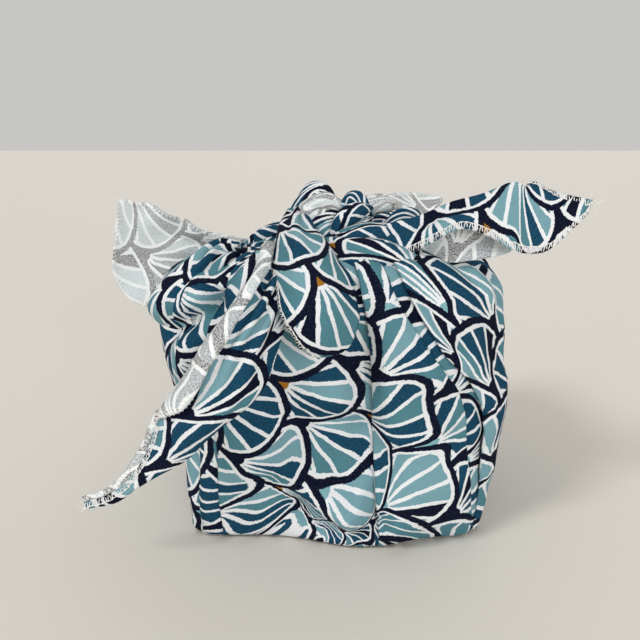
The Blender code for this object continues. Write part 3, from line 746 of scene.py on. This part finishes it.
def strip(name):
    """A free part of the cloth: an arch of cloth at each step from the knot to the tip."""
    rows, steps_long, steps_across, gathers, rise, flutter, *fans = STRIPS[name][:9]
    flat = [np.hstack(row) for row in rows]
    read = through_rows(flat, np.linspace(0, len(flat) - 1, steps_long))[:, None, :]
    front, crown, back, roundness, turned = np.split(read, (3, 6, 9, 10), axis=-1)
    across = np.linspace(-1, 1, steps_across + 1)[None, :, None]
    fall = np.abs(across) ** roundness
    points = crown + across * (back - front) / 2 + fall * ((front + back) / 2 - crown)
    ahead = unit(np.gradient(points, axis=0))
    side = unit(np.gradient(points, axis=1))
    out = unit(np.cross(ahead, side))
    share = np.linspace(0, 1, steps_long)[:, None]
    across = across[..., 0]
    seed = 10 + sum(map(ord, name)) % 50
    waves = np.cos(math.pi * gathers * across + 2.5 * share + seed)
    folds = rise * (1 - smooth_step(share / SETTLED)) * waves
    edge = flutter * np.abs(across) ** 4 * np.sin(share * 26 + seed + 2 * across)
    wrinkle = 0.7 * noise(points, 17, seed) + 0.3 * noise(points, 7, seed + 1)
    uneven = folds + edge * smooth_step(share / 0.3) + wrinkle
    width = np.minimum(1.0, np.linalg.norm(back - front, axis=-1) / 20.0)
    points = points + out * (width * uneven)[..., None]
    if name in FOLDED_UNDER:
        points = folded_under(points, HEM_WIDTH)
    middle = steps_across // 2
    if turned.size:
        before = points.shape[1]
        points = turned_hem(points, np.maximum(turned[:, 0, 0], TURNED_LEAST), TURNED_STEPS)
        middle += points.shape[1] - before
    along = lengths(points, 0)[:, middle]
    beside = lengths(points, 1)
    beside = beside - beside[:, middle : middle + 1]
    return patch_of(points, beside, (along[-1] - along)[:, None] + 0 * beside, fans, flip=True)


def roll(name):
    """A gathered length of cloth: folded lengthways into sharp troughs, and wound past itself so
    that its free fold lies on top."""
    start, middle, end, *radii, folds, twist, seam, side_out = ROLLS[name]
    first_radius, middle_radius, last_radius = radii
    creased, dented, dent_size, drawn_in = CREASING[side_out]
    start, end = np.array(start, float), np.array(end, float)
    crest = 2 * np.array(middle, float) - (start + end) / 2
    long = np.linalg.norm(crest - start) + np.linalg.norm(end - crest)
    share = np.linspace(0, 1, max(12, round(long / ROLL_STEP_LONG)))[:, None]
    spine = (1 - share) ** 2 * start + 2 * share * (1 - share) * crest + share**2 * end
    ahead = unit(np.gradient(spine, axis=0))
    side = unit(np.cross(ahead, (0.05, 0.03, 1.0)))
    up = np.cross(side, ahead)
    sides = max(26, round(2 * math.pi * middle_radius / ROLL_STEP_ROUND))
    wound = np.append(np.linspace(-HIDDEN_TURN, 0, 13)[:-1], np.linspace(0, 1, sides + 1))[None, :]
    angle = 2 * math.pi * wound
    swell = np.sin(math.pi * share)
    radius = middle_radius * swell + (first_radius * (1 - share) + last_radius * share) * (1 - swell)
    seed = 60 + sum(map(ord, name)) % 40
    where = np.stack(np.broadcast_arrays(2 * np.cos(angle), 2 * np.sin(angle), 5 * share), axis=-1)
    uneven = noise(where, 1.0, seed)
    bend = angle + 0.35 * noise(where, 1.6, seed + 1)
    trough = 1 - np.abs(np.sin(folds * bend / 2 + 2 * math.pi * twist * share)) ** 0.7
    crease = 1 - np.abs(np.sin(1.7 * folds * bend / 2 - 3.0 * share + seed)) ** 0.6
    form = 1 - TROUGH_DEPTH * creased * trough * (0.75 + 0.45 * uneven)
    form = form - CREASE_DEPTH * creased * crease
    form = form * (0.45 + 0.55 * smooth_step(wound / HIDDEN_TURN + 1)) + 0.07 * np.maximum(wound, 0)
    turned = angle + math.radians(seam)
    ring = np.cos(turned)[..., None] * side[:, None] + np.sin(turned)[..., None] * up[:, None]
    points = spine[:, None] + ring * (radius * form)[..., None]
    dents = middle_radius * dented * noise(points, dent_size, seed + 2 * side_out)
    points += ring * dents[..., None]
    along = lengths(spine[None], 1)[0][:, None] + 0 * angle
    beside = drawn_in * angle * middle_radius + 0 * along
    return patch_of(points, beside, along, (70.0 + 3 * seed, 0.0, seed), flip=side_out == PRINTED)


# Stitches and thread.


def hem_line(patch, column, span):
    """A hem of a patch: its points, the way in from the edge and the way out of the printed side."""
    points = patch["points"]
    first, last = (round(share * (len(points) - 1)) for share in span)
    rows = slice(first, last + 1)
    edge = points[rows, column]
    beside = points[rows, 1 if column == 0 else -2] - edge
    return edge, unit(beside), outward(points, False)[rows, column]


def along_path(tree, phase, pairs, low, high):
    """What a stitch's path says at that phase. A Float Curve holds values from 0 to 1, so they are
    kept in it as shares of the way from low to high."""
    read = node(tree, "ShaderNodeFloatCurve", {"Value": phase})
    curve = read.node.mapping.curves[0]
    shares = [(place, (value - low) / (high - low)) for place, value in pairs]
    for place, share in shares[1:-1]:
        curve.points.new(place, share)
    for point, location in zip(curve.points, shares):
        point.location = location
        point.handle_type = "VECTOR"
    read.node.mapping.update()
    return node(tree, MAP_RANGE, {0: read, 3: low, 4: high})


def overlock_tree(material):
    """Geometry Nodes: an overlock stitch along every line of a mesh, which carries the way in from
    the edge and the way out of the cloth as attributes."""
    tree = bpy.data.node_groups.new("overlock", "GeometryNodeTree")
    sockets = tree.interface
    sockets.new_socket(name="Hem lines", in_out="INPUT", socket_type="NodeSocketGeometry")
    for name, value in (
        ("Pitch", STITCH_PITCH * MM),
        ("Hem width", HEM_WIDTH * MM),
        ("Thread radius", THREAD_THICKNESS / 2 * MM),
        ("Cloth half thickness", CLOTH_THICKNESS / 2 * MM),
    ):
        size = sockets.new_socket(name=name, in_out="INPUT", socket_type="NodeSocketFloat")
        size.default_value = value
    sockets.new_socket(name="Stitches", in_out="OUTPUT", socket_type="NodeSocketGeometry")
    given = tree.nodes.new("NodeGroupInput").outputs
    inward, outside = (
        node(tree, "GeometryNodeInputNamedAttribute", {"Name": name}, data_type="FLOAT_VECTOR")
        for name in ("inward", "outside")
    )
    standing = node(tree, MATH, (given["Cloth half thickness"], given["Thread radius"]), operation="ADD")
    threads = []
    for points_each, *path in (LOOPER, NEEDLE):
        step = node(tree, MATH, (given["Pitch"], float(points_each)), operation="DIVIDE")
        line = node(tree, "GeometryNodeMeshToCurve", {"Mesh": given["Hem lines"]})
        line = node(tree, "GeometryNodeResampleCurve", {"Curve": line, "Length": step}, mode="LENGTH")
        order = node(tree, "GeometryNodeInputIndex")
        stitches = node(tree, MATH, (order, float(points_each)), operation="DIVIDE")
        stitch = node(tree, MATH, (stitches,), operation="FLOOR")
        phase = node(tree, MATH, (stitches,), operation="FRACT")
        chances = {2: STITCH_LUCK[0], 3: STITCH_LUCK[1], "ID": stitch, "Seed": 5}
        luck = node(tree, "FunctionNodeRandomValue", chances, 1, data_type="FLOAT")
        across = along_path(tree, phase, [(share, far_in) for share, far_in, _ in path], -1.0, 2.0)
        across = node(tree, MATH, (across, luck), operation="MULTIPLY")
        across = node(tree, MATH, (across, given["Hem width"]), operation="MULTIPLY")
        above = along_path(tree, phase, [(share, side) for share, _, side in path], -2.0, 2.0)
        above = node(tree, MATH, (above, standing), operation="MULTIPLY")
        shifts = [
            node(tree, VECTOR, {0: way, "Scale": far}, operation="SCALE")
            for way, far in ((inward, across), (outside, above))
        ]
        shift = node(tree, VECTOR, shifts, operation="ADD")
        line = node(tree, "GeometryNodeSetPosition", {"Geometry": line, "Offset": shift})
        four_sided = {"Resolution": 4, "Radius": given["Thread radius"]}
        ring = node(tree, "GeometryNodeCurvePrimitiveCircle", four_sided)
        tube = {"Curve": line, "Profile Curve": ring, "Fill Caps": True}
        threads.append(node(tree, "GeometryNodeCurveToMesh", tube))
    both = tree.nodes.new("GeometryNodeJoinGeometry")
    for thread in threads:
        tree.links.new(thread, both.inputs[0])
    real = node(tree, "GeometryNodeRealizeInstances", (both.outputs[0],))
    smooth = node(tree, "GeometryNodeSetShadeSmooth", (real,))
    finished = node(tree, "GeometryNodeSetMaterial", {"Geometry": smooth, "Material": material})
    tree.links.new(finished, tree.nodes.new("NodeGroupOutput").inputs[0])
    return tree


def overlock(name, hems, material):
    """Sews the overlock stitch along every hem."""
    mesh = bpy.data.meshes.new(name + "_lines")
    sizes = [len(line) for line, _, _ in hems]
    starts = np.cumsum([0] + sizes[:-1])
    edges = [(first + k, first + k + 1) for first, size in zip(starts, sizes) for k in range(size - 1)]
    mesh.from_pydata((np.concatenate([line for line, _, _ in hems]) * MM).tolist(), edges, [])
    for title, place in (("inward", 1), ("outside", 2)):
        values = mesh.attributes.new(title, "FLOAT_VECTOR", "POINT")
        values.data.foreach_set("vector", np.concatenate([hem[place] for hem in hems]).ravel())
    lines = add_object(name + "_lines", mesh)
    sewing = lines.modifiers.new("overlock", "NODES")
    sewing.node_group = overlock_tree(material)
    for item in sewing.node_group.interface.items_tree:
        if item.in_out == "INPUT" and item.socket_type == "NodeSocketFloat":
            sewing[item.identifier] = item.default_value
    graph = bpy.context.evaluated_depsgraph_get()
    made = add_object(name, bpy.data.meshes.new_from_object(lines.evaluated_get(graph)))
    bpy.data.objects.remove(lines)
    return made


def thread_ends(name, material):
    """Short ends of sewing thread that trail from the cloth's corners."""
    points, faces = [], []
    share = np.linspace(0, 1, THREAD_STEPS + 1)[:, None]
    for start, reach, curl in THREAD_ENDS:
        spine = np.array(start, float) + share * np.array(reach) + share**2 * np.array(curl) * 1.4
        spine += 0.25 * np.sin(share * (9, 7, 8) + np.array(start))
        ahead = unit(np.gradient(spine, axis=0))
        side = unit(np.cross(ahead, (0.3, 1.0, 0.2)))
        up = np.cross(side, ahead)
        edges = [len(points) + (THREAD_STEPS + 1) * k for k in range(4)]
        for turn in np.arange(4) * math.pi / 2:
            ring = math.cos(turn) * side + math.sin(turn) * up
            points.extend(spine + ring * (THREAD_THICKNESS / 2) * (0.75 - 0.35 * share))
        for (here, there), k in itertools.product(zip(edges, edges[1:] + edges[:1]), range(THREAD_STEPS)):
            faces.append((here + k, there + k, there + k + 1, here + k + 1))
        faces.append(edges[::-1])
        faces.append([edge + THREAD_STEPS for edge in edges])
    mesh = bpy.data.meshes.new(name)
    mesh.from_pydata((np.array(points) * MM).tolist(), [], faces)
    mesh.materials.append(material)
    rebuilt = bmesh.new()
    rebuilt.from_mesh(mesh)
    bmesh.ops.recalc_face_normals(rebuilt, faces=rebuilt.faces)
    rebuilt.to_mesh(mesh)
    mesh.shade_smooth()
    return add_object(name, mesh)


# Patches into one cloth.


def outward(points, wraps):
    """The surface direction at every point of a patch."""
    if wraps:
        wide = np.concatenate([points[:, -1:], points, points[:, :1]], axis=1)
        beside = wide[:, 2:] - wide[:, :-2]
    else:
        beside = np.gradient(points, axis=1)
    return unit(np.cross(unit(beside), unit(np.gradient(points, axis=0))))


class Cloth:
    """Gathers patches into one mesh with a UV map and a material number for each face."""

    def __init__(self):
        self.points, self.faces, self.places, self.finishes, self.count = [], [], [], [], 0

    def add(self, points, near, far, wraps, finish, flip):
        rows, columns = points.shape[:2]
        number = self.count + np.arange(rows * columns).reshape(rows, columns)
        self.points.append(points.reshape(-1, 3))
        self.count += rows * columns
        width = columns if wraps else columns - 1
        left, right = np.arange(width), (np.arange(width) + 1) % columns
        quads = np.stack(
            [number[:-1, left], number[:-1, right], number[1:, right], number[1:, left]], axis=-1
        ).reshape(-1, 4)
        places = np.stack(
            [near[:-1, left], far[:-1, right], far[1:, right], near[1:, left]], axis=2
        ).reshape(-1, 4, 2)
        if flip:
            quads, places = quads[:, ::-1], places[:, ::-1]
        self.faces.append(quads)
        self.places.append(places)
        self.finishes.append(np.full(len(quads), finish))
        return number

    def bridge(self, first, second, first_place, second_place, wraps, finish):
        """A rim between two rows of points."""
        if wraps:
            first, second = np.append(first, first[0]), np.append(second, second[0])
            first_place = np.concatenate([first_place, first_place[:1]])
            second_place = np.concatenate([second_place, second_place[:1]])
        self.faces.append(np.stack([first[:-1], first[1:], second[1:], second[:-1]], axis=-1))
        self.places.append(
            np.stack([first_place[:-1], first_place[1:], second_place[1:], second_place[:-1]], axis=1)
        )
        self.finishes.append(np.full(len(first) - 1, finish))

    def sheet(self, patch):
        """Adds a patch as cloth with a face and a wrong side. Where the patch goes all round, its
        wrong side is out of sight and has every second row."""
        points, near, far, wraps = (patch[k] for k in ("points", "near", "far", "wraps"))
        out = outward(points, wraps)
        kept = np.arange(len(points))
        if wraps:
            kept = np.append(kept[:-1:2], kept[-1])
        face = self.add(points + out * CLOTH_THICKNESS / 2, near, far, wraps, 0, False)
        depth = np.full(points.shape[:2], CLOTH_THICKNESS / 2)
        if "inner" in patch:
            sag = ((points[:-2] + points[2:]) / 2 - points[1:-1]) * out[1:-1]
            sag = np.pad(np.maximum(sag.sum(-1), 0), ((2, 2), (0, 0)))
            sag = np.maximum(sag[:-2], sag[2:])
            depth = patch["inner"] + np.where(patch["inner"] > CLOTH_THICKNESS, sag, 0.0)
        inner = points - out * depth[..., None]
        back = self.add(inner[kept], near[kept], far[kept], wraps, 1, True)
        self.bridge(back[0], face[0], near[0], near[0], wraps, 1)
        self.bridge(face[-1], back[-1], near[-1], near[-1], wraps, 1)
        if not wraps:
            self.bridge(face[:, 0], back[:, 0], near[:, 0], near[:, 0], False, 1)
            self.bridge(back[:, -1], face[:, -1], near[:, -1], near[:, -1], False, 1)

    def build(self, name, materials):
        mesh = bpy.data.meshes.new(name)
        faces = np.concatenate(self.faces)
        mesh.from_pydata((np.concatenate(self.points) * MM).tolist(), [], faces.tolist())
        mesh.uv_layers.new(name="flat_cloth")
        mesh.uv_layers["flat_cloth"].data.foreach_set("uv", (np.concatenate(self.places) * MM).ravel())
        mesh.polygons.foreach_set("material_index", np.concatenate(self.finishes))
        for material in materials:
            mesh.materials.append(material)
        mesh.shade_smooth()
        return add_object(name, mesh)


# Finishes.


def finish(name, roughness, specular=0.5):
    """A new material of that roughness and specular level, its tree and its shader's inputs."""
    material = bpy.data.materials.new(name)
    material.use_nodes = True
    inputs = material.node_tree.nodes["Principled BSDF"].inputs
    inputs["Roughness"].default_value = roughness
    inputs["Specular IOR Level"].default_value = specular
    return material, material.node_tree, inputs


def colour_by_luck(tree, key, colours):
    """One of those colours, by the luck that each key has."""
    luck = node(tree, "ShaderNodeTexWhiteNoise", {"Vector": key}, noise_dimensions="3D")
    chosen = node(tree, "ShaderNodeValToRGB", (luck,))
    ramp = chosen.node.color_ramp
    ramp.interpolation = "CONSTANT"
    while len(ramp.elements) < len(colours):
        ramp.elements.new(1.0)
    for element, (colour, start) in zip(ramp.elements, colours):
        element.position, element.color = start, linear(colour)
    return chosen


def fan_at(tree, placed):
    """The scale on top at that place in the print: the way there from its middle, and its key."""
    x, y = (node(tree, "ShaderNodeSeparateXYZ", (placed,), k) for k in (0, 1))
    lowest = node(tree, MATH, (y, FAN_RADIUS * MM), operation="SUBTRACT")
    lowest = node(tree, MATH, (lowest, FAN_UP * MM), operation="DIVIDE")
    lowest = node(tree, MATH, (lowest,), operation="CEIL")
    top = None
    for row in (2.0, 1.0, 0.0):
        number = node(tree, MATH, (lowest, row), operation="ADD")
        odd = node(tree, MATH, (number, 2.0), operation="FLOORED_MODULO")
        odd = node(tree, MATH, (odd, 0.5), operation="MULTIPLY")
        column = node(tree, MATH, (x, FAN_ACROSS * MM), operation="DIVIDE")
        column = node(tree, MATH, (column, odd), operation="SUBTRACT")
        column = node(tree, MATH, (column,), operation="ROUND")
        key = node(tree, "ShaderNodeCombineXYZ", (column, number))
        middle = node(tree, VECTOR, (key, node(tree, "ShaderNodeCombineXYZ", (odd,))), operation="ADD")
        steps = (-FAN_ACROSS * MM, -FAN_UP * MM, 0.0)
        offset = node(tree, VECTOR, (middle, steps, placed), operation="MULTIPLY_ADD")
        found = (offset, key)
        if top:
            far = node(tree, VECTOR, (offset,), 1, operation="LENGTH")
            inside = node(tree, MATH, (far, FAN_RADIUS * MM), operation="LESS_THAN")
            found = tuple(
                node(tree, MIX, {0: inside, 4: lower, 5: upper}, 1, data_type="VECTOR")
                for lower, upper in zip(top, found)
            )
        top = found
    return top


def fan_print(tree):
    """The print's colour: rows of overlapping scales, the traditional wave pattern, each ribbed like
    an open fan. Screen printed by hand, so its edges wander a little."""
    uv = node(tree, "ShaderNodeUVMap", uv_map="flat_cloth")
    placed = uv
    for grain, detail, far in EDGE_WANDER:
        wander = node(tree, NOISE, {"Vector": uv, "Scale": grain, "Detail": detail}, 1)
        wander = node(tree, VECTOR, (wander, (0.5, 0.5, 0.5)), operation="SUBTRACT")
        placed = node(tree, VECTOR, (wander, (far * MM, far * MM, 0.0), placed), operation="MULTIPLY_ADD")
    offset, key = fan_at(tree, placed)
    out = node(tree, VECTOR, (offset,), 1, operation="LENGTH")
    out = node(tree, MATH, (out, FAN_RADIUS * MM), operation="DIVIDE")
    from_pivot = node(tree, VECTOR, (offset, (0.0, FAN_RADIUS * FAN_PIVOT * MM, 0.0)), operation="ADD")
    reach = node(tree, VECTOR, (from_pivot,), 1, operation="LENGTH")
    sides = [node(tree, "ShaderNodeSeparateXYZ", (from_pivot,), k) for k in (0, 1)]
    turn = node(tree, MATH, sides, operation="ARCTAN2")
    ribs = node(tree, MATH, (turn, FAN_RIBS / math.pi, 0.5), operation="MULTIPLY_ADD")
    rib = node(tree, MATH, (ribs,), operation="FLOOR")
    rib_width = node(tree, MATH, (reach, math.pi / FAN_RIBS), operation="MULTIPLY")
    from_side = node(tree, MATH, (ribs, 0.5), operation="PINGPONG")
    from_side = node(tree, MATH, (from_side, rib_width), operation="MULTIPLY")
    rib_key = node(tree, VECTOR, (key, node(tree, "ShaderNodeCombineXYZ", {2: rib})), operation="ADD")
    colour = colour_by_luck(tree, rib_key, RIB_COLOURS)
    for measure, test, limit, paint in (
        (from_side, "LESS_THAN", RIB_GAP * MM, linear(BARE_COTTON)),
        (reach, "LESS_THAN", PIVOT_GAP_RADIUS * MM, linear(BARE_COTTON)),
        (reach, "LESS_THAN", PIVOT_RADIUS * MM, colour_by_luck(tree, key, PIVOT_COLOURS)),
        (out, "GREATER_THAN", BORDER_FROM, linear(BARE_COTTON)),
        (out, "GREATER_THAN", RING_FROM, linear(NAVY)),
    ):
        where = node(tree, MATH, (measure, limit), operation=test)
        colour = node(tree, MIX, {0: where, 6: colour, 7: paint}, 2, data_type="RGBA")
    return colour, uv


def weave(tree, uv):
    """Plain weave: fine threads both ways. Real threads are 0.3 mm apart; they are drawn 0.83 mm
    apart so that the cloth's tooth shows."""
    threads = {"Vector": uv, "Scale": WEAVE, "Distortion": 1.2}
    bands = [node(tree, "ShaderNodeTexWave", threads, 1, bands_direction=way) for way in ("X", "Y")]
    crossings = node(tree, MATH, bands, operation="MULTIPLY")
    slub = node(tree, NOISE, {"Vector": uv, "Scale": SLUB, "Detail": 2.0})
    return node(tree, MATH, (crossings, slub), operation="ADD")


def cotton(name, ground, grain, specks, bareness, strike):
    """Pigment-printed plain-weave cotton: matt, with a fine tooth. The ink sits on the threads, so
    specks of bare cloth show through it: few on the face, many on the wrong side, where the print
    is only a pale shadow and only the darkest ink strikes through."""
    material, tree, inputs = finish(name, COTTON_ROUGHNESS, COTTON_SPECULAR)
    colour, uv = fan_print(tree)
    tooth = weave(tree, uv)
    speckle = node(tree, NOISE, {"Vector": uv, "Scale": grain, "Detail": 2.0, "Roughness": 0.8})
    bare = node(tree, MAP_RANGE, (speckle, *specks, *bareness))
    dark = node(tree, "ShaderNodeRGBToBW", (colour,))
    dark = node(tree, MAP_RANGE, (dark, 0.0, DARK_INK, strike, 0.0))
    soaked = node(tree, MAP_RANGE, (speckle, *specks, *SOAKED))
    soaked = node(tree, MATH, (dark, soaked), operation="MULTIPLY")
    bare = node(tree, MATH, (bare, soaked), operation="SUBTRACT")
    colour = node(tree, MIX, {0: bare, 6: colour, 7: linear(ground)}, 2, data_type="RGBA")
    # Painted shade in the weave's hollows and a little painted light on its tops, multiplied into the
    # colour.
    shade = node(tree, MAP_RANGE, (tooth, *TOOTH_PAINTED_SHADE))
    colour = node(tree, MIX, {0: 1.0, 6: colour, 7: shade}, 2, data_type="RGBA", blend_type="MULTIPLY")
    tree.links.new(colour, inputs["Base Color"])
    relief = {"Strength": TOOTH_STRENGTH, "Distance": TOOTH_HEIGHT * MM, "Height": tooth}
    bump = node(tree, "ShaderNodeBump", relief)
    tree.links.new(bump, inputs["Normal"])
    return material


def sewing_thread():
    """Spun polyester overlock thread: white, matt and a little hairy."""
    material, tree, inputs = finish("white_overlock_thread", THREAD_ROUGHNESS)
    dull, bright = map(linear, THREAD_WHITES)
    place = node(tree, "ShaderNodeTexCoord", out=3)
    fuzz = node(tree, NOISE, {"Vector": place, "Scale": FUZZ, "Detail": 1.0})
    fuzz = node(tree, MAP_RANGE, (fuzz, 0.3, 0.7, 0.0, 1.0))
    colour = node(tree, MIX, {0: fuzz, 6: dull, 7: bright}, 2, data_type="RGBA")
    tree.links.new(colour, inputs["Base Color"])
    return material


# The stage.


def stage():
    """A pale floor, soft light from the upper left, and the camera."""
    corners = [(x * FLOOR_HALF, y * FLOOR_HALF, 0) for x, y in ((-1, -1), (1, -1), (1, 1), (-1, 1))]
    floor_mesh = bpy.data.meshes.new("floor")
    floor_mesh.from_pydata(corners, [], [(0, 1, 2, 3)])
    paint, _, inputs = finish("pale_floor", 0.75)
    inputs["Base Color"].default_value = linear(FLOOR_COLOUR)
    floor_mesh.materials.append(paint)
    floor = add_object("floor", floor_mesh)
    world = bpy.data.worlds.new("studio")
    world.use_nodes = True
    world.node_tree.nodes["Background"].inputs[0].default_value = linear(SKY_COLOUR)
    world.node_tree.nodes["Background"].inputs[1].default_value = SKY_STRENGTH
    bpy.context.scene.world = world
    bpy.context.scene.view_settings.view_transform = "Standard"
    for name, place, strength, width in LIGHTS:
        lamp = bpy.data.lights.new(name, "SUN")
        lamp.energy, lamp.angle = strength, math.radians(width)
        made = add_object(name, lamp)
        made.location = place
        x, y, z = place
        made.rotation_euler = (math.atan2(math.hypot(x, y), z), 0, math.atan2(y, x) + math.pi / 2)
    lens = bpy.data.cameras.new("camera")
    lens.sensor_width, lens.lens, lens.clip_start = 36.0, CAMERA_LENS, 0.01
    camera = add_object("camera", lens)
    camera.location = CAMERA_PLACE
    camera.rotation_euler = (math.radians(CAMERA_TILT), 0, 0)
    bpy.context.scene.camera = camera


def main():
    stage()
    cotton_sides = [cotton(name, *row) for name, row in COTTON_SIDES.items()]
    thread = sewing_thread()
    cloth = Cloth()
    wall_patch = wall()
    cloth.sheet(wall_patch)
    cloth.sheet(base(wall_patch["points"][0, ::3]))
    for name in TUCKED:
        cloth.sheet(tucked_corner(name))
    hems = []
    for name, row in STRIPS.items():
        patch = strip(name)
        cloth.sheet(patch)
        for column, (first, last) in ((-1, row[-2]), (0, row[-1])):
            if last > first:
                hems.append(hem_line(patch, column, (first, last)))
    for name, row in ROLLS.items():
        patch = roll(name)
        cloth.sheet(patch)
        if row[-1] == WRONG:
            hems.append(hem_line(patch, -1, ROLL_HEM))
    wrap = cloth.build("furoshiki", cotton_sides)
    stitches = overlock("overlock_stitches", hems, thread)
    ends = thread_ends("thread_ends", thread)
    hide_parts("furoshiki_cloth")
    for piece in (wrap, stitches, ends):
        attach(piece, "root")


main()
